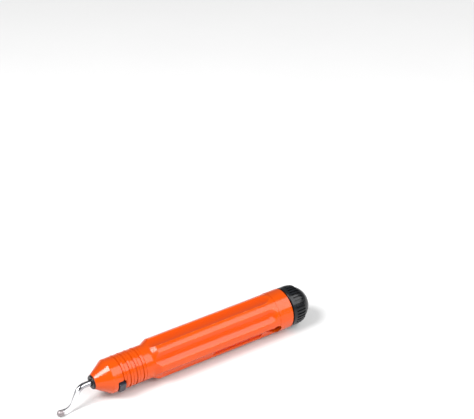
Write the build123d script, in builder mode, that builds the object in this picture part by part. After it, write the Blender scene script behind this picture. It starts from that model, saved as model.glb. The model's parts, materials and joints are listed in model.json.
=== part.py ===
from build123d import *
from math import acos, cos, degrees, radians, sin, sqrt
import os

# Pen-type deburring tool with a swivelling S-shaped blade, millimetres.
#
# The tool lies on its side. Its axis runs along X, with the blade at -X and
# the screw cap at +X, one grip radius above the table. Stations are distances
# along the axis from the front edge of the grip. Angles go round the axis from
# the near side (-Y), upwards.

# ---------------------------------------------------------------- dimensions

# grip, shoulder, neck and cone of the handle
GRIP_R = 11.0
GRIP_LEN = 81.0
LAND_R = 10.83
REAR_COLLAR_FRONT = 72.75
SHOULDER_LEN = 3.45
NECK_R = 9.1
NECK_LEN = 23.3
CONE_LEN = 7.9
CONE_TIP_R = 4.05
CONE_TIP_EDGE = 0.3
NECK_END = -SHOULDER_LEN
CONE_BACK = NECK_END - NECK_LEN
CONE_FRONT = CONE_BACK - CONE_LEN

# finger rings turned into the neck: a groove with sloping sides and a raised
# edge behind it, and a fine line half way to the next groove
RING_COUNT = 4
RING_PITCH = 3.8
RING_FIRST = -21.3
RING_DEPTH = 0.42
RING_CREST = 0.14
RING_MOUTH = 0.4
RING_FLOOR = 0.18
FINE_LINE_DEPTH = 0.2
FINE_LINE_HALF = 0.15

# six scooped flutes along the grip, one of them at the bottom
FLUTE_COUNT = 6
FLUTE_R = 9.65
FLUTE_FLOOR_R = 9.5
FLUTE_FIRST_ANGLE = 30
FLUTE_END = 71.5
FLUTE_START = -6.0
FLUTE_AXIS_R = FLUTE_FLOOR_R + FLUTE_R
FLUTE_RUNOUT = sqrt(FLUTE_R**2 - (FLUTE_AXIS_R - LAND_R) ** 2)

# rounding of the handle's outer edges
EDGE_R = 0.35
CONE_EDGE_R = 0.8
SHOULDER_ROOT_R = 4.0
STATION_TOLERANCE = 0.01

# blank label panel and lanyard hole, in the flute under the near side
LABEL_ANGLE = -34
LABEL_FRONT = 32.5
LABEL_BACK = 62.4
LABEL_WIDTH = 3.4
LABEL_CORNER_R = 0.8
LABEL_DEPTH = 0.3
LANYARD_ANGLE = -24
LANYARD_STATION = 70.7
LANYARD_R = 2.9
CORD_RELIEF_STATION = 65.4
CORD_RELIEF_R = 0.9
CORD_RELIEF_DEPTH = 0.8

# bores, from the nose to the mouth
NOSE_BORE_R = 3.3
CORE_R = 6.6
CORE_FRONT = -27.1
CORE_BACK = -9.0
CHAMBER_R = 7.4
CHAMBER_FRONT = -1.0
MOUTH_R = 8.2
MOUTH_FRONT = 74.3
MOUTH_EDGE = 0.4
SLIP = 0.05
CORE_PLAY = 0.1
CORE_EDGE = 0.4

# release button, its window and the latch plate below it
BUTTON_ANGLE = -20
BUTTON_STATION = -22.3
BUTTON_TRAVEL = 1.2
BUTTON_TOP = 9.75
BUTTON_BASE = 6.9
BUTTON_LEN = 3.6
BUTTON_WIDTH = 5.8
BUTTON_SOCKET = 1.5
BUTTON_PLAY = 0.2
WINDOW_LEN = 4.5
WINDOW_WIDTH = 8.2
PLATE_T = 1.2
PLATE_WIDTH = 5.6
PLATE_BASE = -3.2
PLATE_TOP = BUTTON_BASE + BUTTON_SOCKET

# latch spring under the plate
SPRING_WIRE_R = 0.17
SPRING_R = 0.95
SPRING_TURNS = 4
SPRING_FLOOR = -6.0
SPRING_POCKET_R = 1.4
SPRING_END_GAP = 0.02

# blade
SHANK_R = 1.6
BLADE_R = 1.5
SHANK_BACK = -15.5
GROOVE_R = 1.05
GROOVE_LEN = 1.7
BEND_START = -39.0
BEND_1_R = 6.0
BEND_2_R = 5.0
BEND_ANGLE = 57
BLADE_OFFSET = 9.6
KNOB_R = 1.75
BLADE_TIP = -56.4
KNOB_STATION = BLADE_TIP + KNOB_R
GRIND_STATION = -48.4
GRIND_R = 14.0
GRIND_LEAVES = 0.45
FLOOR_GAP = 0.05

# bearings and the thrust ball behind the shank
RUNNING_GAP = 0.03
SLEEVE_R = 2.6
SLEEVE_FRONT = -33.8
SLEEVE_BACK = -24.6
BUSH_FRONT = -20.2
BUSH_BACK = -16.2
BALL_R = 1.5
BALL_GAP = 0.05
SCREW_R = 2.2
SCREW_LEN = 2.6
SCREW_RELIEF = 0.2
SCREW_SLOT = 0.6
TUBE_EDGE = 0.2
BALL_STATION = SHANK_BACK + BALL_GAP + BALL_R
SCREW_FRONT = BALL_STATION + BALL_R

# nose collar
COLLAR_FRONT = CONE_FRONT - 0.9
COLLAR_R = 3.75
COLLAR_BORE_R = 1.8

# snap ring behind the core, and the wall in front of the storage chamber
SNAP_R = 7.05
SNAP_INNER_R = 5.5
SNAP_T = 0.8
SNAP_GAP = 3.2
SNAP_EAR_ANGLE = 22
SNAP_EAR_HOLE_R = 0.4
SNAP_PLAY = 0.1
SNAP_BACK = CORE_BACK + SNAP_T + SNAP_PLAY
WALL_T = 1.8

# screw cap
CAP_GAP = 0.7
CAP_FRONT = GRIP_LEN + CAP_GAP
CAP_R = 10.75
CAP_BAND_LEN = 1.9
CAP_FORM_R = 9.9
DOME_START = 86.4
DOME_END = 95.9
RIB_COUNT = 36
RIB_WIDTH = 0.95
RIB_RISE = 0.75
RIB_BACK = 90.0
STEM_FRONT = 74.6
STEM_R = 7.45
STEM_BORE_R = 5.7
THREAD_R = 8.1
THREAD_PITCH = 2.5
THREAD_FRONT = 75.6
THREAD_TURNS = 1.9
SEAL_R = 9.0
SEAL_WIRE_R = 0.42
SEAL_STATION = GRIP_LEN + 0.55

# the whole tool is centred on X = 0
MIDDLE = (BLADE_TIP + DOME_END) / 2
TOOL_AXIS = Axis((0, 0, GRIP_R), (1, 0, 0))
BLADE_ANGLE = -90 + degrees(acos((GRIP_R - KNOB_R - FLOOR_GAP) / BLADE_OFFSET))


def outward(angle):
    """Unit vector away from the axis at an angle round it."""
    return Vector(0, -cos(radians(angle)), sin(radians(angle)))


def lengthwise(angle):
    """Plane through the axis: local X is the station, local Y the radius."""
    normal = Vector(1, 0, 0).cross(outward(angle))
    return Plane(origin=(-MIDDLE, 0, GRIP_R), x_dir=(1, 0, 0), z_dir=normal)


def across(station):
    """Plane square to the axis, looking back along the tool from the nose."""
    return Plane(origin=(station - MIDDLE, 0, GRIP_R), x_dir=(0, -1, 0), z_dir=(-1, 0, 0))


def facing(station, angle, radius=0):
    """Plane square to a radius: local X is along the tool, local Z outward."""
    origin = Vector(station - MIDDLE, 0, GRIP_R) + outward(angle) * radius
    return Plane(origin=origin, x_dir=(1, 0, 0), z_dir=outward(angle))


def edges_at(edges, station):
    """Those edges whose middle lies at a station."""
    return edges.filter_by(lambda edge: abs((edge @ 0.5).X + MIDDLE - station) < STATION_TOLERANCE)


def save(part, name):
    part.label = name
    export_step(part, f"parts/{name}.step")


os.makedirs("parts", exist_ok=True)

# --------------------------------------------------------------- handle body

# outline from the cone's tip back along the neck
neck_outline = [
    (CONE_FRONT, CONE_TIP_R - CONE_TIP_EDGE),
    (CONE_FRONT + CONE_TIP_EDGE, CONE_TIP_R),
    (CONE_BACK, NECK_R),
]
for number in range(RING_COUNT):
    ring = RING_FIRST + number * RING_PITCH
    fine = ring + RING_PITCH / 2
    neck_outline += [
        (ring - RING_MOUTH, NECK_R),
        (ring - RING_FLOOR, NECK_R - RING_DEPTH),
        (ring + RING_FLOOR, NECK_R - RING_DEPTH),
        (ring + RING_MOUTH, NECK_R + RING_CREST),
        (fine - FINE_LINE_HALF, NECK_R),
        (fine, NECK_R - FINE_LINE_DEPTH),
        (fine + FINE_LINE_HALF, NECK_R),
    ]

with BuildPart() as flute_cutter:
    with BuildSketch(lengthwise(FLUTE_FIRST_ANGLE)):
        with BuildLine():
            back = FLUTE_END - FLUTE_RUNOUT
            Line((FLUTE_START, FLUTE_AXIS_R), (FLUTE_START, FLUTE_FLOOR_R))
            Line((FLUTE_START, FLUTE_FLOOR_R), (back, FLUTE_FLOOR_R))
            CenterArc((back, FLUTE_AXIS_R), FLUTE_R, -90, 90)
            Line((back + FLUTE_R, FLUTE_AXIS_R), (FLUTE_START, FLUTE_AXIS_R))
        make_face()
    flute_axis_point = Vector(0, 0, GRIP_R) + outward(FLUTE_FIRST_ANGLE) * FLUTE_AXIS_R
    revolve(axis=Axis(flute_axis_point, (1, 0, 0)))

with BuildPart() as handle_body:
    with BuildSketch(lengthwise(0)):
        with BuildLine():
            Polyline(
                (CONE_FRONT, 0),
                *neck_outline,
                (NECK_END, NECK_R),
                (0, LAND_R),
                (REAR_COLLAR_FRONT, LAND_R),
                (REAR_COLLAR_FRONT, GRIP_R),
                (GRIP_LEN - EDGE_R, GRIP_R),
                (GRIP_LEN, GRIP_R - EDGE_R),
                (GRIP_LEN, 0),
                close=True,
            )
        make_face()
    revolve(axis=TOOL_AXIS)
    for number in range(FLUTE_COUNT):
        turned = flute_cutter.part.rotate(TOOL_AXIS, -number * 360 / FLUTE_COUNT)
        add(turned, mode=Mode.SUBTRACT)
    # soft edges round every flute and the shoulder, at the cone's back and in
    # the shoulder's root
    flute_sides = handle_body.edges().filter_by(GeomType.LINE).filter_by(
        lambda edge: GRIP_LEN / 2 < edge.length < FLUTE_END
    )
    flute_ends = handle_body.edges().filter_by(GeomType.BSPLINE)
    fillet(flute_sides + flute_ends + edges_at(handle_body.edges(), 0), EDGE_R)
    fillet(edges_at(handle_body.edges(), CONE_BACK), CONE_EDGE_R)
    fillet(edges_at(handle_body.edges().filter_by(GeomType.CIRCLE), NECK_END), SHOULDER_ROOT_R)
    with BuildSketch(lengthwise(0)):
        with BuildLine():
            Polyline(
                (CONE_FRONT - 1, 0),
                (CONE_FRONT - 1, NOSE_BORE_R),
                (CORE_FRONT - CORE_PLAY, NOSE_BORE_R),
                (CORE_FRONT - CORE_PLAY, CORE_R),
                (CORE_BACK + SLIP, CORE_R),
                (CORE_BACK + SLIP, SNAP_R + SNAP_PLAY),
                (SNAP_BACK + SLIP, SNAP_R + SNAP_PLAY),
                (SNAP_BACK + SLIP, CORE_R),
                (CHAMBER_FRONT, CORE_R),
                (CHAMBER_FRONT, CHAMBER_R),
                (MOUTH_FRONT, CHAMBER_R),
                (MOUTH_FRONT, MOUTH_R),
                (GRIP_LEN - MOUTH_EDGE, MOUTH_R),
                (GRIP_LEN, MOUTH_R + MOUTH_EDGE),
                (GRIP_LEN + 1, MOUTH_R + MOUTH_EDGE),
                (GRIP_LEN + 1, 0),
                close=True,
            )
        make_face()
    revolve(axis=TOOL_AXIS, mode=Mode.SUBTRACT)
    # window that the release button comes out of
    with BuildSketch(facing(BUTTON_STATION, BUTTON_ANGLE, CORE_R - 2)):
        RectangleRounded(WINDOW_LEN, WINDOW_WIDTH, 0.4)
    extrude(amount=GRIP_R, mode=Mode.SUBTRACT)
    # sunk blank panel
    with BuildSketch(facing((LABEL_FRONT + LABEL_BACK) / 2, LABEL_ANGLE, FLUTE_FLOOR_R - LABEL_DEPTH)):
        RectangleRounded(LABEL_BACK - LABEL_FRONT, LABEL_WIDTH, LABEL_CORNER_R)
    extrude(amount=GRIP_R, mode=Mode.SUBTRACT)
    # hole right across for a lanyard, with a relief that narrows forwards for the cord
    with BuildSketch(facing(LANYARD_STATION, LANYARD_ANGLE)):
        Circle(LANYARD_R)
    extrude(amount=GRIP_R + 2, both=True, mode=Mode.SUBTRACT)
    with BuildSketch(facing(LANYARD_STATION, LANYARD_ANGLE, FLUTE_FLOOR_R - CORD_RELIEF_DEPTH)):
        Circle(LANYARD_R)
        with Locations((CORD_RELIEF_STATION - LANYARD_STATION, 0)):
            Circle(CORD_RELIEF_R)
        make_hull()
    extrude(amount=GRIP_R, mode=Mode.SUBTRACT)
save(handle_body.part, "handle_body")

# --------------------------------------------------------------- nose collar

with BuildPart() as nose_collar:
    with BuildSketch(lengthwise(0)):
        with BuildLine():
            Polyline(
                (CORE_FRONT, SLEEVE_R),
                (SLEEVE_FRONT, SLEEVE_R),
                (SLEEVE_FRONT, COLLAR_BORE_R),
                (COLLAR_FRONT + 0.3, COLLAR_BORE_R),
                (COLLAR_FRONT, COLLAR_BORE_R + 0.3),
                (COLLAR_FRONT, COLLAR_R - 0.55),
            )
            Line((COLLAR_FRONT + 0.55, COLLAR_R), (CONE_FRONT, COLLAR_R))
            Polyline(
                (CONE_FRONT, COLLAR_R),
                (CONE_FRONT, NOSE_BORE_R),
                (CORE_FRONT, NOSE_BORE_R),
                (CORE_FRONT, SLEEVE_R),
            )
            CenterArc((COLLAR_FRONT + 0.55, COLLAR_R - 0.55), 0.55, 90, 90)
        make_face()
    revolve(axis=TOOL_AXIS)
save(nose_collar.part, "nose_collar")

# -------------------------------------------------------------- blade holder

with BuildPart() as holder_core:
    with BuildSketch(lengthwise(0)):
        with BuildLine():
            Polyline(
                (CORE_FRONT, SLEEVE_R),
                (CORE_FRONT, CORE_R - SLIP - CORE_EDGE),
                (CORE_FRONT + CORE_EDGE, CORE_R - SLIP),
                (CORE_BACK, CORE_R - SLIP),
                (CORE_BACK, SCREW_R),
                (SCREW_FRONT - SCREW_RELIEF, SCREW_R),
                (SCREW_FRONT - SCREW_RELIEF, BALL_R + SLIP),
                (BUSH_BACK, BALL_R + SLIP),
                (BUSH_BACK, SLEEVE_R),
                close=True,
            )
        make_face()
    revolve(axis=TOOL_AXIS)
    # pocket for the foot of the button
    with BuildSketch(facing(BUTTON_STATION, BUTTON_ANGLE, BUTTON_BASE - BUTTON_TRAVEL - BUTTON_PLAY)):
        Rectangle(BUTTON_LEN + 2 * BUTTON_PLAY, BUTTON_WIDTH + 2 * BUTTON_PLAY)
    extrude(amount=CORE_R, mode=Mode.SUBTRACT)
    # slot for the latch plate
    with BuildSketch(facing(BUTTON_STATION, BUTTON_ANGLE, PLATE_BASE - BUTTON_TRAVEL - BUTTON_PLAY)):
        Rectangle(PLATE_T + 2 * SLIP, PLATE_WIDTH + 2 * SLIP)
    extrude(amount=2 * CORE_R, mode=Mode.SUBTRACT)
    # round pocket for the spring
    with BuildSketch(facing(BUTTON_STATION, BUTTON_ANGLE, SPRING_FLOOR)):
        Circle(SPRING_POCKET_R)
    extrude(amount=-SPRING_FLOOR, mode=Mode.SUBTRACT)
save(holder_core.part, "holder_core")

# ------------------------------------------- bearings, thrust ball and screw


def tube(front, back, outer, inner):
    """Half outline of a tube with a small chamfer at both outer edges."""
    Polyline(
        (front, inner),
        (front, outer - TUBE_EDGE),
        (front + TUBE_EDGE, outer),
        (back - TUBE_EDGE, outer),
        (back, outer - TUBE_EDGE),
        (back, inner),
        close=True,
    )


with BuildPart() as bearing_sleeve:
    with BuildSketch(lengthwise(0)):
        with BuildLine():
            tube(SLEEVE_FRONT, SLEEVE_BACK, SLEEVE_R, SHANK_R + RUNNING_GAP)
        make_face()
    revolve(axis=TOOL_AXIS)
save(bearing_sleeve.part, "bearing_sleeve")

with BuildPart() as rear_bush:
    with BuildSketch(lengthwise(0)):
        with BuildLine():
            tube(BUSH_FRONT, BUSH_BACK, SLEEVE_R, SHANK_R + RUNNING_GAP)
        make_face()
    revolve(axis=TOOL_AXIS)
save(rear_bush.part, "rear_bush")

with BuildPart() as thrust_ball:
    with BuildSketch(lengthwise(0)):
        with BuildLine():
            CenterArc((BALL_STATION, 0), BALL_R, 0, 180)
            Line((BALL_STATION - BALL_R, 0), (BALL_STATION + BALL_R, 0))
        make_face()
    revolve(axis=TOOL_AXIS)
save(thrust_ball.part, "thrust_ball")

with BuildPart() as thrust_screw:
    with BuildSketch(lengthwise(0)):
        with BuildLine():
            tube(SCREW_FRONT, SCREW_FRONT + SCREW_LEN, SCREW_R, 0)
        make_face()
    revolve(axis=TOOL_AXIS)
    # screwdriver slot in the rear face
    with BuildSketch(across(SCREW_FRONT + SCREW_LEN)):
        Rectangle(2 * SCREW_R, SCREW_SLOT)
    extrude(amount=SCREW_SLOT * 1.5, mode=Mode.SUBTRACT)
save(thrust_screw.part, "thrust_screw")

# ------------------------------------------------- snap ring and chamber wall

with BuildPart() as core_snap_ring:
    with BuildSketch(across(SNAP_BACK)):
        Circle(SNAP_R)
        Circle(SNAP_INNER_R, mode=Mode.SUBTRACT)
        with Locations((-SNAP_R, 0)):
            Rectangle(SNAP_R, SNAP_GAP, mode=Mode.SUBTRACT)
    extrude(amount=SNAP_T)
    # plier holes beside the gap
    with BuildSketch(across(SNAP_BACK)):
        ear_r = (SNAP_R + SNAP_INNER_R) / 2
        with PolarLocations(ear_r, 2, 180 - SNAP_EAR_ANGLE, 2 * SNAP_EAR_ANGLE, endpoint=True):
            Circle(SNAP_EAR_HOLE_R)
    extrude(amount=SNAP_T, mode=Mode.SUBTRACT)
save(core_snap_ring.part, "core_snap_ring")

with BuildPart() as chamber_wall:
    with BuildSketch(across(CHAMBER_FRONT + WALL_T)):
        Circle(CHAMBER_R)
    extrude(amount=WALL_T)
    chamfer(chamber_wall.faces().sort_by(Axis.X)[-1].edges(), 0.4)
save(chamber_wall.part, "chamber_wall")

# ------------------------------------------------ latch plate, button, spring

with BuildPart() as latch_plate:
    # keyhole plate: at rest its narrow end holds the groove of the shank, and
    # pressed in its wide end lets the shank through
    with BuildSketch(across(BUTTON_STATION + PLATE_T / 2)):
        with Locations(Location((0, 0, 0), (0, 0, 1), BUTTON_ANGLE)):
            with Locations(((PLATE_BASE + PLATE_TOP) / 2, 0)):
                RectangleRounded(PLATE_TOP - PLATE_BASE, PLATE_WIDTH, 0.5)
            with Locations((BUTTON_TRAVEL, 0)):
                Circle(SHANK_R + 0.15, mode=Mode.SUBTRACT)
            Circle(GROOVE_R + 0.1, mode=Mode.SUBTRACT)
            with Locations((BUTTON_TRAVEL / 2, 0)):
                Rectangle(BUTTON_TRAVEL, 2 * GROOVE_R + 0.2, mode=Mode.SUBTRACT)
    extrude(amount=PLATE_T)
save(latch_plate.part, "latch_plate")

with BuildPart() as release_button:
    with BuildSketch(facing(BUTTON_STATION, BUTTON_ANGLE, BUTTON_BASE)):
        RectangleRounded(BUTTON_LEN, BUTTON_WIDTH, 0.35)
    extrude(amount=BUTTON_TOP - BUTTON_BASE)
    top_edges = release_button.faces().sort_by(Axis((0, 0, 0), outward(BUTTON_ANGLE)))[-1].edges()
    fillet(top_edges, 0.3)
    # socket that the plate is pressed into
    with BuildSketch(facing(BUTTON_STATION, BUTTON_ANGLE, BUTTON_BASE)):
        Rectangle(PLATE_T, PLATE_WIDTH)
    extrude(amount=BUTTON_SOCKET, mode=Mode.SUBTRACT)
save(release_button.part, "release_button")

with BuildPart() as latch_spring:
    # the wire's middle line stops half a wire and a small gap from both ends
    end_inset = SPRING_WIRE_R + SPRING_END_GAP
    coil_height = PLATE_BASE - SPRING_FLOOR - 2 * end_inset
    coil_base = facing(BUTTON_STATION, BUTTON_ANGLE, SPRING_FLOOR + end_inset)
    with BuildLine() as coil:
        Helix(
            pitch=coil_height / SPRING_TURNS,
            height=coil_height,
            radius=SPRING_R,
            center=coil_base.origin,
            direction=coil_base.z_dir,
        )
    with BuildSketch(Plane(origin=coil.line @ 0, z_dir=coil.line % 0)):
        Circle(SPRING_WIRE_R)
    sweep(path=coil.line, is_frenet=True)
save(latch_spring.part, "latch_spring")

# --------------------------------------------------------------------- blade

with BuildPart() as deburring_blade:
    # turned shank with the latch groove and a pointed rear end
    with BuildSketch(lengthwise(0)):
        with BuildLine():
            groove_front = BUTTON_STATION - GROOVE_LEN / 2
            groove_back = BUTTON_STATION + GROOVE_LEN / 2
            Polyline(
                (BEND_START + 2, 0),
                (BEND_START + 2, BLADE_R),
                (COLLAR_FRONT + 0.5, BLADE_R),
                (COLLAR_FRONT + 0.7, SHANK_R),
                (groove_front, SHANK_R),
                (groove_front, GROOVE_R),
                (groove_back, GROOVE_R),
                (groove_back, SHANK_R),
                (SHANK_BACK - 1.1, SHANK_R),
                (SHANK_BACK, 0.5),
                (SHANK_BACK, 0),
                close=True,
            )
        make_face()
    revolve(axis=TOOL_AXIS)
    # the S: two bends with a straight run between them
    with BuildLine(lengthwise(BLADE_ANGLE)) as s_path:
        turn = radians(BEND_ANGLE)
        rise_1 = BEND_1_R * (1 - cos(turn))
        rise_2 = BEND_2_R * (1 - cos(turn))
        slope_len = (BLADE_OFFSET - rise_1 - rise_2) / sin(turn)
        entry = Line((BEND_START + 2, 0), (BEND_START, 0))
        bend_1 = JernArc(entry @ 1, (-1, 0), BEND_1_R, -BEND_ANGLE)
        slope = PolarLine(bend_1 @ 1, slope_len, 180 - BEND_ANGLE)
        bend_2 = JernArc(slope @ 1, slope % 1, BEND_2_R, BEND_ANGLE)
        foot = Line(bend_2 @ 1, (KNOB_STATION, BLADE_OFFSET))
    with BuildSketch(across(BEND_START + 2)):
        Circle(BLADE_R)
    sweep(path=s_path.line)
    # rounded knob at the tip, turned about the last straight run
    with BuildSketch(lengthwise(BLADE_ANGLE)):
        with BuildLine():
            CenterArc((KNOB_STATION, BLADE_OFFSET), KNOB_R, 0, 180)
            Line((KNOB_STATION - KNOB_R, BLADE_OFFSET), (KNOB_STATION + KNOB_R, BLADE_OFFSET))
        make_face()
    revolve(axis=Axis(foot @ 1, (1, 0, 0)))
    # hollow-ground face on the near side of the S, which gives the cutting edge
    with BuildSketch(Plane(
        origin=lengthwise(BLADE_ANGLE).from_local_coords((0, -4, 0)),
        x_dir=(1, 0, 0),
        z_dir=outward(BLADE_ANGLE),
    )):
        with Locations((GRIND_STATION, GRIND_R + GRIND_LEAVES)):
            Circle(GRIND_R)
    extrude(amount=20, mode=Mode.SUBTRACT)
save(deburring_blade.part, "deburring_blade")

# ------------------------------------------------------------ end cap and seal


def dome_radius(station, form_r):
    """Radius of the elliptical dome at a station."""
    along = (station - DOME_START) / (DOME_END - DOME_START)
    return form_r * sqrt(1 - along**2)


with BuildPart() as cap_rib:
    # one grip rib: stands above the form all along and rolls over at its rear end
    with BuildSketch(lengthwise(0)):
        with BuildLine():
            rib_top = Spline(
                (DOME_START - 0.6, CAP_R),
                (RIB_BACK - 1.8, dome_radius(RIB_BACK - 1.8, CAP_FORM_R) + RIB_RISE),
                (RIB_BACK - 0.6, dome_radius(RIB_BACK - 0.6, CAP_FORM_R) + RIB_RISE - 0.06),
                tangents=[(1, 0), (1, -0.75)],
            )
            Line(rib_top @ 1, (RIB_BACK, dome_radius(RIB_BACK, CAP_FORM_R) - 0.1))
            Polyline(
                (RIB_BACK, dome_radius(RIB_BACK, CAP_FORM_R) - 0.1),
                (RIB_BACK, CAP_FORM_R - 1.9),
                (CAP_FRONT + 1, CAP_FORM_R - 1.9),
                (CAP_FRONT + 1, CAP_R),
                rib_top @ 0,
            )
        make_face()
    extrude(amount=RIB_WIDTH / 2, both=True)

with BuildPart() as end_cap:
    with BuildSketch(lengthwise(0)):
        with BuildLine():
            Polyline(
                (STEM_FRONT, STEM_BORE_R),
                (STEM_FRONT, STEM_R - 0.5),
                (STEM_FRONT + 0.5, STEM_R),
                (CAP_FRONT, STEM_R),
                (CAP_FRONT, SEAL_R - 0.55),
                (SEAL_STATION + 0.5, SEAL_R - 0.55),
                (SEAL_STATION + 0.5, SEAL_R + 0.55),
                (CAP_FRONT, SEAL_R + 0.55),
                (CAP_FRONT, CAP_R - 0.25),
                (CAP_FRONT + 0.25, CAP_R),
                (CAP_FRONT + CAP_BAND_LEN, CAP_R),
                (CAP_FRONT + CAP_BAND_LEN + 0.3, CAP_FORM_R),
                (DOME_START, CAP_FORM_R),
            )
            EllipticalCenterArc((DOME_START, 0), DOME_END - DOME_START, CAP_FORM_R, arc_size=90)
            Polyline((DOME_END, 0), (DOME_START, 0), (DOME_START, STEM_BORE_R), (STEM_FRONT, STEM_BORE_R))
        make_face()
    revolve(axis=TOOL_AXIS)
    for number in range(RIB_COUNT):
        add(cap_rib.part.rotate(TOOL_AXIS, number * 360 / RIB_COUNT))
    # right-hand screw thread on the stem
    with BuildLine() as thread_path:
        Helix(
            pitch=THREAD_PITCH,
            height=THREAD_PITCH * THREAD_TURNS,
            radius=STEM_R,
            center=(THREAD_FRONT - MIDDLE, 0, GRIP_R),
            direction=(1, 0, 0),
        )
    thread_start = thread_path.line @ 0
    thread_out = (thread_start - Vector(THREAD_FRONT - MIDDLE, 0, GRIP_R)).normalized()
    with BuildSketch(Plane(origin=thread_start, x_dir=thread_out, z_dir=thread_path.line % 0)):
        with BuildLine():
            Polyline(
                (-0.3, -0.75),
                (THREAD_R - STEM_R, -0.3),
                (THREAD_R - STEM_R, 0.3),
                (-0.3, 0.75),
                close=True,
            )
        make_face()
    sweep(path=thread_path.line, is_frenet=True)
save(end_cap.part, "end_cap")

with BuildPart() as cap_seal:
    with BuildSketch(lengthwise(0)):
        with Locations((SEAL_STATION, SEAL_R)):
            Circle(SEAL_WIRE_R)
    revolve(axis=TOOL_AXIS)
save(cap_seal.part, "cap_seal")
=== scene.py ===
"""The looks of a pen-type deburring tool, around its CAD frame: materials, floor, lights and camera."""

import json
from math import pi, radians

import bmesh
import bpy
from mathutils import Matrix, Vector


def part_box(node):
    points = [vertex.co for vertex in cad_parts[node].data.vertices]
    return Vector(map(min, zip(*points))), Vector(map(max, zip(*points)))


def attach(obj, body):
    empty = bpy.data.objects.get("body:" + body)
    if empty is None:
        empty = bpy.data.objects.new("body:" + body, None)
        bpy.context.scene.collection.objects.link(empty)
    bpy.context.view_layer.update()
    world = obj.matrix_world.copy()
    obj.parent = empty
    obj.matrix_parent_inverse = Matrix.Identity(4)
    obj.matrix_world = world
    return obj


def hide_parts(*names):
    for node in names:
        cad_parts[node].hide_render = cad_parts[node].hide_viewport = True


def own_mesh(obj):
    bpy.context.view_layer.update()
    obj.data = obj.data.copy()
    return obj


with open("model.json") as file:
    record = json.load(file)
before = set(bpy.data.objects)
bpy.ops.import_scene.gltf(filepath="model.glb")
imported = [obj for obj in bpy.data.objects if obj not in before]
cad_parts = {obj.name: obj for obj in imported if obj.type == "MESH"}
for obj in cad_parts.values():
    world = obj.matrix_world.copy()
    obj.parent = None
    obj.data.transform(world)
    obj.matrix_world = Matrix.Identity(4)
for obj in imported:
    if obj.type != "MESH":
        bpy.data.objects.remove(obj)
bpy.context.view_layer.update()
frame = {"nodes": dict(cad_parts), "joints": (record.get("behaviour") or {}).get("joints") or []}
nodes = frame["nodes"]

# ---------------------------------------------------------------- landmarks, in metres

MM = 0.001
handle_low, handle_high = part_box("handle_body")
AXIS_Z = (handle_low.z + handle_high.z) / 2
GRIP_R = (handle_high.z - handle_low.z) / 2
GRIP_BACK = handle_high.x
FLUTE_COUNT = 6
FLUTE_PITCH = 2 * pi / FLUTE_COUNT
LAND_R = GRIP_R - 0.17 * MM
LAND_HALF_ANGLE = radians(10.4)
FLUTE_FLOOR_R = GRIP_R - 1.5 * MM
FLUTES_BACK = GRIP_BACK - 12 * MM
NECK_BACK = GRIP_BACK - 84.5 * MM
BLADE_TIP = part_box("deburring_blade")[0].x
GROUND_BACK = BLADE_TIP + 12.5 * MM
KNOB_BACK = BLADE_TIP + 2.6 * MM
COLLAR_R = 3.8 * MM
CAP_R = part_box("end_cap")[1].y
MIDDLE = Vector((0, 0, AXIS_Z))

# ---------------------------------------------------------------- building materials


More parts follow.
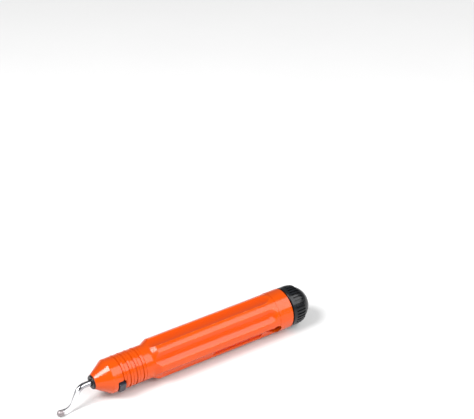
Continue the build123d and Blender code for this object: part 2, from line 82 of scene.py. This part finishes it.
class Finish:
    """A material being built: its node tree, its shader, and places on the piece in metres."""

    def __init__(self, name, **constants):
        self.material = bpy.data.materials.new(name)
        self.material.use_nodes = True
        self.tree = self.material.node_tree
        self.shader = self.tree.nodes["Principled BSDF"]
        self.place = self.node("ShaderNodeTexCoord").outputs["Object"]
        for socket, value in constants.items():
            self.shader.inputs[socket.replace("_", " ")].default_value = value

    def node(self, kind, inputs=None, **settings):
        made = self.tree.nodes.new(kind)
        for name, value in settings.items():
            setattr(made, name, value)
        for name, value in (inputs or {}).items():
            self.feed(made.inputs[name], value)
        return made

    def feed(self, socket, value):
        """Links a socket to another, or gives it a plain value."""
        if isinstance(value, bpy.types.NodeSocket):
            self.tree.links.new(value, socket)
        else:
            socket.default_value = value

    def math(self, operation, first, second=0.0):
        return self.node("ShaderNodeMath", {0: first, 1: second}, operation=operation).outputs[0]

    def noise(self, size, detail=2.0, stretch=(1, 1, 1)):
        """Smooth noise about 0.5, with features of that size in millimetres, longer where stretched."""
        scale = [1 / (size * MM * longer) for longer in stretch]
        place = self.node("ShaderNodeMapping", {"Vector": self.place, "Scale": scale}).outputs[0]
        noise = self.node("ShaderNodeTexNoise", {"Vector": place, "Scale": 1.0, "Detail": detail})
        return noise.outputs["Fac"]

    def span(self, value, low, high, to_low=0.0, to_high=1.0):
        """value from low..high, brought smoothly to to_low..to_high and kept inside it."""
        inputs = {"Value": value, "From Min": low, "From Max": high, "To Min": to_low, "To Max": to_high}
        return self.node("ShaderNodeMapRange", inputs, interpolation_type="SMOOTHSTEP").outputs[0]

    def mix(self, share, first, second):
        """A colour between two colours."""
        made = self.node("ShaderNodeMix", data_type="RGBA")
        colours = {"Factor": share, "A": first, "B": second}
        wanted = [socket for socket in made.inputs if socket.enabled and socket.name in colours]
        for socket in wanted:
            value = colours[socket.name]
            is_colour = isinstance(value, tuple)
            self.feed(socket, (*value, 1.0) if is_colour else value)
        return next(socket for socket in made.outputs if socket.enabled)

    def along(self):
        """Place along the tool's axis."""
        return self.node("ShaderNodeSeparateXYZ", {0: self.place}).outputs["X"]

    def out(self):
        """Distance from the tool's axis."""
        shift = {"Vector": self.place, "Location": (0, 0, -AXIS_Z), "Scale": (0, 1, 1)}
        across = self.node("ShaderNodeMapping", shift).outputs[0]
        return self.node("ShaderNodeVectorMath", {0: across}, operation="LENGTH").outputs["Value"]

    def round(self):
        """Angle round the tool's axis."""
        parts = self.node("ShaderNodeSeparateXYZ", {0: self.place})
        height = self.math("SUBTRACT", parts.outputs["Z"], AXIS_Z)
        return self.math("ARCTAN2", height, parts.outputs["Y"])

    def relief(self, *layers):
        """Bump from layers of (height from 0 to 1, depth in millimetres)."""
        total = 0.0
        for height, depth in layers:
            total = self.math("ADD", total, self.math("MULTIPLY", height, depth))
        bump = self.node("ShaderNodeBump", {"Height": total, "Distance": MM, "Strength": 1.0})
        self.feed(self.shader.inputs["Normal"], bump.outputs[0])

    def finish(self, colour=None, roughness=None):
        if colour is not None:
            self.feed(self.shader.inputs["Base Color"], colour)
        if roughness is not None:
            self.feed(self.shader.inputs["Roughness"], roughness)
        return self.material


# ---------------------------------------------------------------- materials

ORANGE = (0.48, 0.053, 0.0004)
DEEP_ORANGE = (0.45, 0.047, 0.0004)
# painted shade colour for the flutes
FLUTE_SHADE_ORANGE = (0.46, 0.043, 0.0003)
RUBBED_ORANGE = (0.53, 0.085, 0.012)
# painted shade colour for the recesses
RECESS_SHADE_ORANGE = (0.46, 0.020, 0.0003)
WIRE_STEEL = (0.42, 0.42, 0.44)
HAZY_STEEL = (0.34, 0.34, 0.36)
GROUND_STEEL = (0.80, 0.80, 0.82)
KNOB_STEEL = (0.30, 0.26, 0.27)
SPECKLED_STEEL = (0.42, 0.38, 0.39)
PAPER_WHITE = (0.64, 0.64, 0.64)
CLEAN_WHITE = (0.66, 0.66, 0.66)


def glossy_orange():
    """Moulded plastic: cloudy and rippled, with scuffed lands and rubbed flute edges; painted shade darkens
    the flutes and the recesses.
    """
    finish = Finish("glossy_orange", IOR=1.5, Specular_IOR_Level=0.36)
    cloud = finish.noise(14, 3)
    smear = finish.noise(5, 4, (3, 1, 1))
    ripple = finish.noise(1.6, 1)
    grain = finish.noise(0.12, 2)
    on_land = finish.span(finish.out(), LAND_R - 0.25 * MM, LAND_R - 0.02 * MM)
    # how far a point is round from the middle of its land, and so from the land's edges
    from_land = finish.math("PINGPONG", finish.math("ADD", finish.round(), 4 * FLUTE_PITCH), FLUTE_PITCH / 2)
    at_edge = finish.math("ABSOLUTE", finish.math("SUBTRACT", from_land, LAND_HALF_ANGLE))
    near_edge = finish.span(at_edge, radians(0.6), radians(2.2), 1, 0)
    fluted = finish.span(finish.along(), FLUTES_BACK + 4 * MM, FLUTES_BACK)
    on_grip = finish.span(finish.along(), NECK_BACK, NECK_BACK + 4 * MM)
    rubbed = finish.math("MULTIPLY", finish.math("MULTIPLY", near_edge, on_land), fluted)
    rubbed = finish.math("MULTIPLY", rubbed, finish.span(finish.noise(3, 3), 0.4, 0.65))
    scratches = finish.span(finish.noise(0.25, 3, (26, 1, 1)), 0.63, 0.7)
    scuffed = finish.math("MULTIPLY", on_land, finish.span(cloud, 0.45, 0.7))
    scuffed = finish.math("MULTIPLY", scratches, scuffed)
    half_rubbed = finish.math("MULTIPLY", rubbed, 0.5)
    worn = finish.math("MAXIMUM", half_rubbed, finish.math("MULTIPLY", scuffed, 0.35))
    colour = finish.mix(finish.span(cloud, 0.35, 0.7), ORANGE, DEEP_ORANGE)
    # painted shade: the flutes get a darker, deeper orange than the lands, standing in for the shade that
    # falls in them
    flute_painted_shade = finish.span(finish.out(), LAND_R - 0.7 * MM, LAND_R - 0.2 * MM, 1, 0)
    flute_painted_shade = finish.math("MULTIPLY", flute_painted_shade, finish.math("MULTIPLY", fluted, on_grip))
    colour = finish.mix(flute_painted_shade, colour, FLUTE_SHADE_ORANGE)
    colour = finish.mix(worn, colour, RUBBED_ORANGE)
    # painted shade: the grip's recesses, below the floors of the flutes (the blank panel, the cord relief
    # and the hole), get a darker orange for the shade inside them
    below = finish.span(finish.out(), FLUTE_FLOOR_R - 0.13 * MM, FLUTE_FLOOR_R - 0.03 * MM, 1, 0)
    recess_painted_shade = finish.math("MULTIPLY", below, on_grip)
    colour = finish.mix(recess_painted_shade, colour, RECESS_SHADE_ORANGE)
    gloss = finish.span(smear, 0.35, 0.7, 0.12, 0.20)
    gloss = finish.math("ADD", gloss, finish.math("MULTIPLY", worn, 0.3))
    gloss = finish.math("ADD", gloss, finish.math("MULTIPLY", recess_painted_shade, 0.25))
    finish.relief((ripple, 0.0022), (grain, 0.0004), (scuffed, -0.003))
    return finish.finish(colour, gloss)


def black_moulding(name, colour, worn_colour, rough, grain_size, grain_depth, worn_out):
    """Black plastic with a spark-eroded grain, polished by hands where it stands out furthest."""
    finish = Finish(name, IOR=1.5, Specular_IOR_Level=0.3)
    mottle = finish.noise(4, 3)
    grain = finish.noise(grain_size, 3)
    worn = finish.span(finish.out(), worn_out - 0.35 * MM, worn_out)
    worn = finish.math("MULTIPLY", worn, finish.span(mottle, 0.35, 0.6, 0.35, 1))
    shade = finish.mix(worn, colour, worn_colour)
    gloss = finish.span(mottle, 0.3, 0.7, rough, rough + 0.1)
    gloss = finish.math("SUBTRACT", gloss, finish.math("MULTIPLY", worn, 0.1))
    finish.relief((grain, grain_depth), (finish.noise(grain_size * 3.5, 2), grain_depth))
    return finish.finish(shade, gloss)


def blade_steel():
    """Tool steel: fine drawn lines along the polished wire, grinding marks on the S, and a blasted tip."""
    finish = Finish("blade_steel", Metallic=1.0)
    drawn = finish.noise(0.12, 3, (30, 1, 1))
    ground = finish.noise(0.09, 2, (1, 14, 14))
    haze = finish.noise(3, 3)
    on_s = finish.span(finish.along(), GROUND_BACK + 2 * MM, GROUND_BACK)
    at_tip = finish.span(finish.along(), KNOB_BACK + 1.6 * MM, KNOB_BACK)
    speckle = finish.noise(0.25, 3)
    polished = finish.mix(finish.span(haze, 0.3, 0.7), WIRE_STEEL, HAZY_STEEL)
    bright = finish.mix(on_s, polished, GROUND_STEEL)
    tip_colour = finish.mix(finish.span(speckle, 0.35, 0.65), KNOB_STEEL, SPECKLED_STEEL)
    colour = finish.mix(at_tip, bright, tip_colour)
    gloss = finish.span(haze, 0.3, 0.7, 0.10, 0.18)
    gloss = finish.math("ADD", gloss, finish.math("MULTIPLY", at_tip, 0.42))
    lines = finish.math("MULTIPLY", ground, on_s)
    finish.relief((drawn, 0.0002), (lines, 0.0012), (finish.math("MULTIPLY", speckle, at_tip), 0.006))
    return finish.finish(colour, gloss)


def metal(name, colour, tint, rough, line_size, stretch):
    """Turned or drawn metal with lines one way and a cloudy tarnish."""
    finish = Finish(name, Metallic=1.0)
    tarnish = finish.noise(1.8, 4)
    lines = finish.noise(line_size, 2, stretch)
    shade = finish.mix(finish.span(tarnish, 0.35, 0.7), colour, tint)
    gloss = finish.span(tarnish, 0.3, 0.75, rough, rough + 0.16)
    finish.relief((lines, 0.0015))
    return finish.finish(shade, gloss)


def plain_moulding(name, colour, tint, rough, grain_size, grain_depth):
    """Satin plastic or rubber with a fine grain and a little dust in its colour."""
    finish = Finish(name, IOR=1.49)
    mottle = finish.noise(2.5, 4)
    grain = finish.noise(grain_size, 3)
    shade = finish.mix(finish.span(mottle, 0.35, 0.7), colour, tint)
    gloss = finish.span(mottle, 0.3, 0.7, rough, rough + 0.12)
    finish.relief((grain, grain_depth))
    return finish.finish(shade, gloss)


TURNED = (1, 18, 18)
DRAWN = (24, 1, 1)
EVEN = (1, 1, 1)
finishes = {
    "handle_orange": glossy_orange(),
    "black_plastic": black_moulding(
        "black_plastic",
        colour=(0.004, 0.0025, 0.004),
        worn_colour=(0.009, 0.007, 0.009),
        rough=0.24,
        grain_size=0.10,
        grain_depth=0.0016,
        worn_out=COLLAR_R,
    ),
    "cap_plastic": black_moulding(
        "cap_plastic",
        colour=(0.003, 0.0035, 0.0045),
        worn_colour=(0.007, 0.008, 0.010),
        rough=0.22,
        grain_size=0.14,
        grain_depth=0.0018,
        worn_out=CAP_R,
    ),
    "button_plastic": plain_moulding(
        "button_plastic",
        colour=(0.013, 0.014, 0.022),
        tint=(0.018, 0.019, 0.028),
        rough=0.34,
        grain_size=0.12,
        grain_depth=0.002,
    ),
    "core_plastic": plain_moulding(
        "core_plastic",
        colour=(0.007, 0.006, 0.007),
        tint=(0.012, 0.011, 0.012),
        rough=0.45,
        grain_size=0.16,
        grain_depth=0.003,
    ),
    "seal_rubber": plain_moulding(
        "seal_rubber",
        colour=(0.014, 0.014, 0.015),
        tint=(0.026, 0.025, 0.025),
        rough=0.62,
        grain_size=0.10,
        grain_depth=0.004,
    ),
    "blade_steel": blade_steel(),
    "steel": metal(
        "ground_steel",
        colour=(0.58, 0.58, 0.60),
        tint=(0.44, 0.43, 0.43),
        rough=0.24,
        line_size=0.10,
        stretch=TURNED,
    ),
    "spring_steel": metal(
        "spring_steel",
        colour=(0.46, 0.46, 0.48),
        tint=(0.33, 0.32, 0.32),
        rough=0.26,
        line_size=0.08,
        stretch=DRAWN,
    ),
    "ball_steel": metal(
        "ball_steel",
        colour=(0.66, 0.66, 0.68),
        tint=(0.56, 0.56, 0.58),
        rough=0.08,
        line_size=0.20,
        stretch=EVEN,
    ),
    "bronze": metal(
        "sintered_bronze",
        colour=(0.62, 0.36, 0.17),
        tint=(0.44, 0.24, 0.11),
        rough=0.38,
        line_size=0.14,
        stretch=EVEN,
    ),
    "brass": metal(
        "turned_brass",
        colour=(0.78, 0.56, 0.24),
        tint=(0.60, 0.40, 0.16),
        rough=0.24,
        line_size=0.10,
        stretch=TURNED,
    ),
}
for node in nodes.values():
    for material_slot in node.material_slots:
        material_slot.material = finishes[material_slot.material.name.split(".")[0]]

# ---------------------------------------------------------------- latch spring

press = next(joint for joint in frame["joints"] if joint["name"] == "button_press")
press_axis = Vector(press["axis"])


def depth(vertex):
    """How far in a point of the spring is, along the button's travel."""
    return press_axis.dot(vertex.co)


# a copy of the spring stands for it, fixed to the handle
coil = bpy.data.objects.new("latch_coil", nodes["latch_spring"].data.copy())
bpy.context.collection.objects.link(coil)
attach(coil, "handle")
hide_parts("latch_spring")
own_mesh(coil)

# ---------------------------------------------------------------- floor

FLOOR_HALF = 4.0


def paper():
    """Matt white background paper."""
    finish = Finish("white_paper", IOR=1.4)
    fibre = finish.noise(0.8, 4)
    finish.relief((fibre, 0.01))
    shade = finish.mix(finish.noise(60, 3), PAPER_WHITE, CLEAN_WHITE)
    return finish.finish(shade, 0.9)


floor_mesh = bpy.data.meshes.new("floor")
shape = bmesh.new()
bmesh.ops.create_grid(shape, x_segments=8, y_segments=8, size=FLOOR_HALF)
shape.to_mesh(floor_mesh)
shape.free()
floor_mesh.materials.append(paper())
floor = bpy.data.objects.new("floor", floor_mesh)
bpy.context.collection.objects.link(floor)

# ---------------------------------------------------------------- lights


def softbox(name, towards, distance, width, height, radiance, mirrored=True):
    """A rectangular light of even brightness, facing the tool; an unmirrored one only fills its shadows."""
    light = bpy.data.lights.new(name, "AREA")
    light.shape = "RECTANGLE"
    light.size = width
    light.size_y = height
    light.energy = radiance * pi * width * height
    lamp = bpy.data.objects.new(name, light)
    lamp.location = MIDDLE + Vector(towards).normalized() * distance
    lamp.rotation_euler = (-Vector(towards)).to_track_quat("-Z", "Y").to_euler()
    lamp.visible_glossy = mirrored
    bpy.context.collection.objects.link(lamp)


softbox("key_softbox", (0.41, -0.54, 0.74), distance=1.1, width=1.2, height=0.85, radiance=4.4)
softbox("left_softbox", (-0.62, 0.04, 0.78), distance=1.1, width=0.53, height=0.47, radiance=22.0)
softbox(
    "front_softbox", (0.10, -0.98, 0.15), distance=1.3, width=1.8, height=0.34, radiance=8.0, mirrored=False
)

world = bpy.data.worlds.new("studio")
world.use_nodes = True
bpy.context.scene.world = world
surround = world.node_tree.nodes["Background"]
surround.inputs["Color"].default_value = (1.0, 1.0, 1.0, 1.0)
surround.inputs["Strength"].default_value = 0.22

# ---------------------------------------------------------------- camera

LOOKS_DOWN = 32.15
TURNED_RIGHT = 33.142
camera_data = bpy.data.cameras.new("camera")
camera_data.lens = 112.2
camera_data.sensor_width = 36
camera = bpy.data.objects.new("camera", camera_data)
camera.location = (-0.3112, -0.5259, 0.4781)
camera.rotation_euler = (radians(90 - LOOKS_DOWN), 0, -radians(TURNED_RIGHT))
bpy.context.collection.objects.link(camera)
bpy.context.scene.camera = camera
bpy.context.scene.view_settings.view_transform = "Standard"
